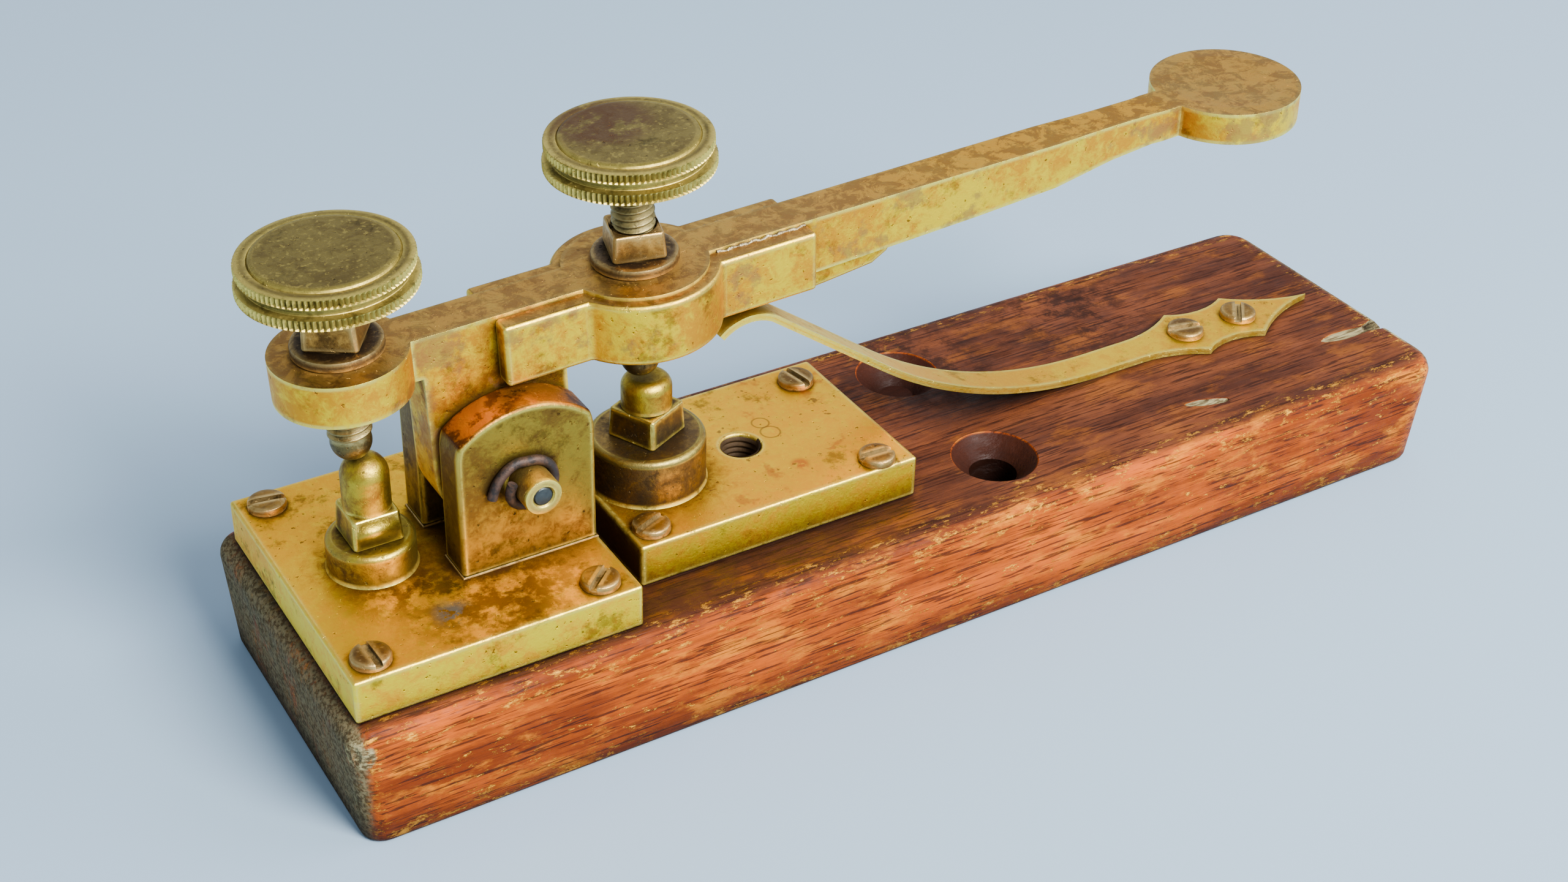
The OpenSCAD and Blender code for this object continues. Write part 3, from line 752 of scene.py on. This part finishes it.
def make_ears():
    """Two round-topped ears that carry the pivot pin, each with a dark seam at its foot."""
    finish, seam = ear_brass(), dark_brass("seam_brass")
    half, foot, crown, crown_z = 10.45, PLATE_TOP, 15.0, 37.6
    side = math.degrees(math.asin(math.sqrt(crown ** 2 - half ** 2) / crown))
    x = PIVOT[0]
    for node, near, far in (("near_ear", -EAR_FACE, -EAR_INNER), ("far_ear", EAR_INNER, EAR_FACE)):
        crown_arc = arc(x, crown_z, crown, side, 180 - side, 24)
        edge = [(x + half, foot)] + crown_arc + [(x - half, foot)]
        face = drawn(node + "_plate", [(px, LINE_Y + near, pz) for px, pz in edge])
        ear = pulled(face, (0, far - near, 0))
        choose(ear, "EDGE", lambda a, b: abs(a.y - b.y) > 1 and 47 < a.z < 49.5
               and abs(abs(a.x - x) - half) < 0.1)
        bpy.ops.mesh.bevel(offset=2.4 * MM, offset_type="OFFSET", segments=6, affect="EDGES")
        only(ear)
        ends = [(x, LINE_Y + y, PIVOT[2]) for y in (-14, 14)]
        carved(ear, rod("ream", 2.87, *ends, 64, True))
        eased(ear, 0.6, 3, 28)
        done(ear, "base", node, finish)
        low, high = LINE_Y + near, LINE_Y + far
        loop = [(x - half, low), (x + half, low), (x + half, high), (x - half, high),
                (x - half, low)]
        bead = wire(node + "_seam", [(px, py, foot + 0.08) for px, py in loop], 0.2, 2, False)
        done(bead, "base", node, seam)


def make_pin():
    """The pivot pin with its steel core, and the open wire loop round its near end."""
    lying = Matrix.Translation(at(*PIVOT)) @ Matrix.Rotation(math.pi / 2, 4, "X")
    tip = EAR_FACE + 5.0
    back = -EAR_FACE - 1.6
    sleeve = [(1.47, tip - 0.35), (1.7, tip - 0.05), (2.45, tip), (2.72, tip - 0.12),
              (2.84, tip - 0.45), (2.84, -EAR_FACE - 0.02), (4.1, -EAR_FACE - 0.02),
              (4.2, -EAR_FACE - 0.3), (4.2, back + 0.5), (3.8, back), (1.47, back)]
    pin = moved(turned("pivot_sleeve", sleeve, 64, closed=True), lying)
    done(evened(pin, 30), "base", "pivot_pin", pin_brass())
    core = [(0, tip - 0.1), (0.8, tip - 0.12), (1.25, tip - 0.2), (1.43, tip - 0.4),
            (1.43, back + 0.1), (0, back + 0.1)]
    done(evened(moved(turned("pivot_core", core, 48), lying), 30), "base", "pin_core", core_steel())
    bend = [(-5.9, -0.9, 0), (-5.5, 0.5, 0), (-4.8, 1.8, 0), (-3.5, 3.1, 0), (-2.1, 3.85, 0)]
    loop_r, steps = 3.62, 7
    bend += [(*p, 0) for p in arc(0, 0, loop_r, 95, -95, 14)]
    bend += [(*p, -1.35 * i / steps) for i, p in enumerate(arc(0, 0, loop_r, -108, -204, steps))]
    wire_r = 0.73
    start_y = LINE_Y - EAR_FACE - wire_r - 0.01
    points = [(PIVOT[0] + px, start_y + py, PIVOT[2] + pz) for px, pz, py in bend]
    ring = wire("retaining_loop", points, wire_r, 4)
    done(evened(ring, 60), "base", "retaining_wire", iron_wire())


# ---------------------------------------------------------------- lever

def make_lever():
    """The arm with its bosses and finger pad, the two soldered straps and the rib under it."""
    finish, seam = lever_brass(), solder()
    under = [(50, ARM_LOW), (80, 14.7), (95, 15.4), (106, 16.9), (114, 17.6), (120.5, PAD_LOW)]
    top = [(120.5, LEVER_TOP), (108, LEVER_TOP), (95, LEVER_TOP), (60, LEVER_TOP)]
    side = [(BACK_U, LEVER_TOP), (BACK_U, BACK_BOSS_LOW), (-10.9, BACK_BOSS_LOW)]
    side += arc(-0.4, 0, 10.5, 180, 360, 32)
    side += [(10.1, ARM_LOW)] + under + top
    lever = pulled(drawn("lever_arm", [(u, -ARM_HALF, w) for u, w in side]), (0, 2 * ARM_HALF, 0))
    for u in (50, 80, 95, 106, 108, 114, 116):
        everything(lever)
        bpy.ops.mesh.bisect(plane_co=at(u, 0, 0), plane_no=(1, 0, 0))
    choose(lever, "VERT", lambda v: 100 < v.x < 115)
    bpy.ops.transform.resize(value=(1, 0.87, 1), center_override=(0, 0, 0))
    choose(lever, "VERT", lambda v: v.x > 115)
    bpy.ops.transform.resize(value=(1, 0.93, 1), center_override=(0, 0, 0))
    for u, radius, low in ((BACK_U, BACK_BOSS_R, BACK_BOSS_LOW), (FRONT_U, FRONT_BOSS_R, ARM_LOW),
                           (PAD_U, PAD_R, PAD_LOW)):
        carved(lever, rod("boss", radius, (u, 0, low), (u, 0, LEVER_TOP), 96), "UNION")
    dish = fresh("dish", bpy.ops.mesh.primitive_uv_sphere_add, segments=360, ring_count=180,
                 radius=DISH_R * MM, location=at(PAD_U, 0, LEVER_TOP + DISH_R - DISH_DEPTH))
    choose(dish, "VERT", lambda v: v.z > LEVER_TOP + 8)
    bpy.ops.mesh.delete(type="VERT")
    everything(dish)
    bpy.ops.mesh.select_mode(type="EDGE")
    bpy.ops.mesh.select_all(action="DESELECT")
    bpy.ops.mesh.select_non_manifold()
    bpy.ops.mesh.edge_face_add()
    only(dish)
    carved(lever, dish)
    for u in (BACK_U, FRONT_U):
        carved(lever, rod("bore", SCREW_BORE_R, (u, 0, 8), (u, 0, 30), 64))
    carved(lever, rod("bore", PIN_BORE_R, (0, -9, 0), (0, 9, 0), 64, True))
    eased(lever, 0.42, 3, 26)
    done(moved(lever, LEVER_PLACE), "lever", "lever", finish)

    strap_in, strap_out, strap_end = 3.1, 6.3, 49.6
    ring_in, ring_out = 10.0, 12.2
    inner = math.degrees(math.asin(strap_in / ring_in))
    outer = math.degrees(math.asin(strap_out / ring_out))
    near = [(0, -strap_in), (0, -strap_out)]
    near += arc(FRONT_U, 0, ring_out, 180 + outer, 360 - outer, 30)
    near += [(strap_end, -strap_out), (strap_end, -strap_in)]
    near += arc(FRONT_U, 0, ring_in, 360 - inner, 180 + inner, 30)
    for node, flip in (("near_strap", 1), ("far_strap", -1)):
        outline = [(u, flip * y, STRAP_LOW) for u, y in near]
        strap = pulled(drawn(node + "_band", outline), (0, 0, STRAP_TOP - STRAP_LOW))
        eased(strap, 0.6, 3, 28)
        done(moved(strap, LEVER_PLACE), "lever", node, finish)
        line = [(u, flip * (3.62 + 0.16 * math.sin(u * 2.3)),
                 STRAP_TOP - 0.05 + 0.13 * math.sin(u * 3.1 + 1))
                for u in [34.4 + i * 0.42 for i in range(36)]]
        bead = wire(node + "_solder", line, 0.3, 3)
        everything(bead)
        bpy.ops.transform.vertex_random(offset=0.1 * MM, seed=8)
        only(bead)
        evened(bead, 80)
        done(moved(bead, LEVER_PLACE), "lever", node, seam)

    rib = [(35.8, ARM_LOW + 0.1), (35.8, 9.65), (48, 9.65), (55, 10.2), (62.4, 10.9), (65, 12.3),
           (66.5, ARM_LOW + 0.5)]
    rib = pulled(drawn("under_rib", [(u, -1.5, w) for u, w in rib]), (0, 3.0, 0))
    eased(rib, 0.45, 3, 12)
    done(moved(rib, LEVER_PLACE), "lever", "lever_rib", finish)


# ---------------------------------------------------------------- adjusting screws

def square_nut(name, wide, narrow, height, bore):
    """A square nut whose sides slope in a little towards the top."""
    nut = block(name, (-wide / 2, -wide / 2, 0), (wide / 2, wide / 2, height))
    choose(nut, "FACE", lambda c, n: n.z > 0.9)
    share = narrow / wide
    bpy.ops.transform.resize(value=(share, share, 1), center_override=at(0, 0, height))
    choose(nut, "EDGE", lambda a, b: abs(a.z - b.z) > 1)
    bpy.ops.mesh.bevel(offset=0.45 * MM, offset_type="OFFSET", segments=2, affect="EDGES")
    only(nut)
    carved(nut, rod("bore", bore, (0, 0, -1), (0, 0, height + 1)))
    return eased(nut, 0.35, 3, 30)


def knurled_knob(name):
    """Two knurled rims either side of a smooth neck, and a raised middle."""
    flutes, groove_share = 96, 0.956
    profile = [(0, 0.02), (11.5, 0.02), (11.95, 0.12), (12.05, 0.35), (12.05, 1.4), (11.9, 1.62),
               (11.3, 1.74), (10.98, 1.8), (10.9, 1.9), (10.9, 2.75), (11.0, 2.84), (11.35, 2.9),
               (11.65, 3.05), (11.75, 3.25), (11.75, 4.22), (11.62, 4.42), (11.3, 4.5),
               (10.1, 4.52), (9.95, 4.47), (9.85, 4.36), (9.78, 4.5), (9.7, 4.7), (9.5, 4.82),
               (9.1, 4.87), (0, 4.87)]
    knob = turned(name, profile, flutes * 2)
    step = math.pi / flutes

    def groove(v):
        rim = math.hypot(v.x, v.y) > 11.6 and (0.3 < v.z < 1.45 or 3.2 < v.z < 4.3)
        return rim and round(math.atan2(v.y, v.x) / step) % 2 == 1

    choose(knob, "VERT", groove)
    bpy.ops.transform.resize(value=(groove_share, groove_share, 1), center_override=(0, 0, 0))
    only(knob)
    return evened(knob, 24)


def adjusting_screw(name, tip, top):
    """A threaded shank with a ball end."""
    pitch, root, crest, ball_r = 1.05, 2.52, 3.1, 2.9
    ball = arc(0, tip, ball_r, -90, 15, 15)
    core = turned(name, ball + [(root, tip + 1.6), (root, top), (0, top)], 64)
    turns = int((top - tip - 0.2) / pitch)
    start = top - turns * pitch
    tooth = [(root, 0, start), (crest - 0.06, 0, start + 0.38), (crest, 0, start + 0.46),
             (crest, 0, start + 0.6), (crest - 0.06, 0, start + 0.68), (root, 0, start + pitch)]
    helix = drawn("helix", tooth, close=False)
    applied(helix, "SCREW", axis="Z", angle=2 * math.pi, screw_offset=pitch * MM,
            iterations=turns - 1, steps=40, render_steps=40, use_merge_vertices=True)
    everything(helix)
    bpy.ops.mesh.normals_make_consistent(inside=False)
    only(helix)
    return evened(joined([core, helix], name), 42)


def make_adjusters():
    """Both adjusting screws, each with its knob, washer and square lock nut."""
    knob_finish, thread_finish, washer_finish = knob_brass(), thread_brass(), dark_brass()
    nut_finish = dark_brass("nut_brass", srgb(218, 168, 80), srgb(158, 116, 56))
    first_knob = knurled_knob("turned_knob")
    washer_profile = [(3.3, 0), (6.0, 0), (6.3, 0.3), (6.3, 1.2), (6.15, 1.55), (5.8, 1.7),
                      (4.9, 1.72), (3.6, 1.72), (3.3, 1.6)]
    first_washer = evened(turned("turned_washer", washer_profile, 72, closed=True), 40)
    sets = (("back", BACK_U, 8.47, 32.95, 7.7, 7.15, 4.1, -34.8),
            ("front", FRONT_U, 6.85, 37.95, 7.75, 7.2, 4.05, -15.5))
    for name, u, tip, knob_w, wide, narrow, height, turn in sets:
        knob = moved(shifted(copied(first_knob, name + "_turned_knob"), u, 0, knob_w), LEVER_PLACE)
        done(knob, name + "_knob", name + "_knob", knob_finish)
        screw = adjusting_screw(name + "_threaded_screw", tip, knob_w)
        screw = moved(shifted(screw, u, 0, 0), LEVER_PLACE)
        done(screw, name + "_screw", name + "_screw", thread_finish)
        washer = shifted(copied(first_washer, name + "_round_washer"), u, 0, LEVER_TOP)
        washer = moved(washer, LEVER_PLACE)
        done(washer, "lever", name + "_washer", washer_finish)
        nut = square_nut(name + "_square_nut", wide, narrow, height, 3.13)
        nut = moved(shifted(nut, u, 0, LEVER_TOP + 1.74, turn), LEVER_PLACE)
        done(nut, name + "_lock_nut", name + "_lock_nut", nut_finish)
    bpy.data.objects.remove(first_knob)
    bpy.data.objects.remove(first_washer)


# ---------------------------------------------------------------- contact posts

def make_posts():
    """The two contact posts, each with a round foot and a square nut."""
    worn, smoky = post_brass(), post_brass("smoky_brass", srgb(146, 118, 56), srgb(100, 80, 50))
    stud_r, stud_low = 2.6, 21.6
    stud_end = [(stud_r, stud_low), (0, stud_low)]
    back_top = arc(0, 42.2, 3.42, 90, 0, 15)
    back = turned("back_pillar", back_top + [(3.42, 37.0), (stud_r, 36.9)] + stud_end, 64)
    front_top = [(0, 44.9), (1.9, 44.86)] + arc(2.1, 43.2, 1.7, 84, 0, 12)
    front = turned("front_pillar", front_top + [(3.8, 39.9), (stud_r, 39.8)] + stud_end, 64)
    shape = {
        "back": (back, worn, BACK_POST_X, 6.36, 32.2, 37.0, 7.5, 6.9, 0.0),
        "front": (front, smoky, FRONT_POST_X, 8.85, 35.05, 39.8, 8.4, 7.95, 25.6)}
    for name, values in shape.items():
        post, foot, x, seat_r, seat_top, nut_top, wide, narrow, turn = values
        done(evened(shifted(post, x, LINE_Y, 0), 40), "base", name + "_post", worn)
        round_top = arc(seat_r - 0.9, seat_top - 0.9, 0.9, 0, 90, 6)
        profile = [(2.65, PLATE_TOP), (seat_r + 0.25, PLATE_TOP), (seat_r, PLATE_TOP + 0.5)]
        profile += round_top + [(2.65, seat_top)]
        seat = turned(name + "_round_boss", profile, 84, closed=True)
        done(evened(shifted(seat, x, LINE_Y, 0), 40), "base", name + "_post_boss", foot)
        nut = square_nut(name + "_pillar_nut", wide, narrow, nut_top - seat_top, 2.65)
        done(shifted(nut, x, LINE_Y, seat_top, turn), "base", name + "_post_nut", foot)


# ---------------------------------------------------------------- leaf spring

def scoop(cx, cy, radius, places):
    """Points on the lower side of a circle, at the given places along it."""
    return [(x, cy - math.sqrt(radius ** 2 - (x - cx) ** 2)) for x in places]


def make_spring():
    """A leaf that rises from the base in one long bend and curls over under the lever."""
    bend_r, curl_r, tip_x = 77.0, 7.0, 93
    bend = (44.0, BASE_TOP + bend_r)
    curl = (-25.23, 43.62)
    side = [(tip_x, BASE_TOP)]
    side += arc(*bend, bend_r, 270, 234, 30) + arc(*curl, curl_r, 60, 132, 12)
    side += arc(*curl, curl_r + SPRING_THICK, 132, 60, 12)
    side += arc(*bend, bend_r - SPRING_THICK, 234, 270, 30)
    side += [(tip_x, BASE_TOP + SPRING_THICK)]
    blade = drawn("spring_leaf", [(x, LINE_Y - SPRING_HALF, z) for x, z in side])
    pulled(blade, (0, 2 * SPRING_HALF, 0))
    flare = scoop(53, 24.9, 22.0, (53, 55, 57, 59, 61, 63, 64.9))
    waist = scoop(71.1, 17.5, 12.8, (66, 67.5, 69, 71.1, 73.2, 74.7, 76.2, 77.3))
    spike = scoop(95.3, 28.5, 28.6, (79, 81, 83.5, 86, 88.5, 90.5, 92.2))
    half = [(-40, 2.9)] + flare + waist + spike
    outline = [(x, LINE_Y + y, 10) for x, y in half]
    outline += [(x, LINE_Y - y, 10) for x, y in reversed(half)]
    carved(blade, pulled(drawn("plan", outline), (0, 0, 60)), "INTERSECT")
    eased(blade, 0.2, 2, 32)
    done(blade, "base", "leaf_spring", spring_brass())
    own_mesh(blade)


# ---------------------------------------------------------------- wood screws

def slotted_head(name, radius, height):
    """A low cheese head with a worn top edge and a straight slot, on a plain shank."""
    shank_r, shank_low = 1.6, -9
    slot_half, slot_deep = 0.52, 0.75
    profile = [(0, height + 0.05), (radius * 0.6, height + 0.03), (radius - 0.35, height - 0.06),
               (radius - 0.1, height - 0.25), (radius, height - 0.55), (radius, 0.0),
               (shank_r, 0), (shank_r, shank_low), (0, shank_low)]
    head = turned(name, profile, 56)
    carved(head, block("saw", (-5, -slot_half, height - slot_deep), (5, slot_half, height + 2)))
    return eased(head, 0.09, 2, 32)


def make_wood_screws():
    """Four screws in each plate and two in the spring; each place is x, y and the slot's turn."""
    finish = screw_brass()
    plate_head, spring_head = 2.85, 3.15
    groups = [
        ("pivot_plate_screws", plate_head, PLATE_TOP,
         [(-93.5, 19.3, -9), (-93.8, -20.5, -88), (-59.6, -20.6, 41), (-59.6, 19.3, 30)]),
        ("contact_plate_screws", plate_head, PLATE_TOP,
         [(-47.3, -12.8, 22), (-8.2, 10.8, -79), (-8.8, -13.8, -3), (-47.3, 11.2, 60)]),
        ("spring_screws", spring_head, BASE_TOP + SPRING_THICK,
         [(64.3, LINE_Y, -12), (76.2, LINE_Y, 50)])]
    for node, radius, z, places in groups:
        first = slotted_head("slotted_head", radius, 1.3)
        for i, (x, y, turn) in enumerate(places):
            screw = shifted(copied(first, f"{node}_{i + 1}"), x, y, z, turn)
            done(screw, "base", node, finish)
        bpy.data.objects.remove(first)


# ---------------------------------------------------------------- floor, light and camera

def make_stage():
    """A wide pale floor, a cool sky, and three round lamps aimed at the key."""
    floor = fresh("floor", bpy.ops.mesh.primitive_plane_add, size=40, location=(0, 0, 0))
    f = Finish("pale_floor")
    tone = f.blend(f.cloud(2, 2, 0.5), srgb(146, 172, 196), srgb(152, 178, 201))
    floor.data.materials.append(f.surface(tone, 0.9, f.cloud(50), metallic=0.0, strength=0.0))
    world = bpy.data.worlds.new("studio")
    bpy.context.scene.world = world
    world.use_nodes = True
    sky = world.node_tree.nodes["Background"].inputs
    sky["Color"].default_value = (0.80, 0.90, 1.0, 1)
    sky["Strength"].default_value = 0.71
    lamps = [("key", (0.2, -0.85, 0.78), 0.6, 43.0, (1.0, 0.97, 0.93)),
             ("fill", (0.8, -0.35, 0.75), 0.8, 6.0, (0.97, 0.98, 1.0)),
             ("rim", (0.5, 0.85, 0.8), 0.9, 1.3, (1.0, 0.98, 0.95))]
    for name, place, size, power, tint in lamps:
        lamp = bpy.data.lights.new(name, "AREA")
        lamp.shape = "DISK"
        lamp.size, lamp.energy, lamp.color = size, power, tint
        holder = bpy.data.objects.new(name, lamp)
        bpy.context.collection.objects.link(holder)
        holder.location = place
        holder.rotation_euler = (-Vector(place)).to_track_quat("-Z", "Y").to_euler()


def make_camera():
    """Looks down on the key from its near left."""
    right, up = Vector((0.8535, -0.5203, 0.0281)), Vector((0.2716, 0.4903, 0.8282))
    right.normalize()
    back = right.cross(up).normalized()
    up = back.cross(right)
    lens = bpy.data.cameras.new("camera")
    lens.lens, lens.sensor_width = 50, 36
    camera = bpy.data.objects.new("camera", lens)
    bpy.context.collection.objects.link(camera)
    turn = Matrix((right, up, back)).transposed().to_4x4()
    camera.matrix_world = Matrix.Translation(at(-167.86, -237.39, 214.91)) @ turn
    bpy.context.scene.camera = camera


make_base()
make_plates()
make_ears()
make_pin()
make_lever()
make_adjusters()
make_posts()
make_spring()
make_wood_screws()
make_stage()
make_camera()
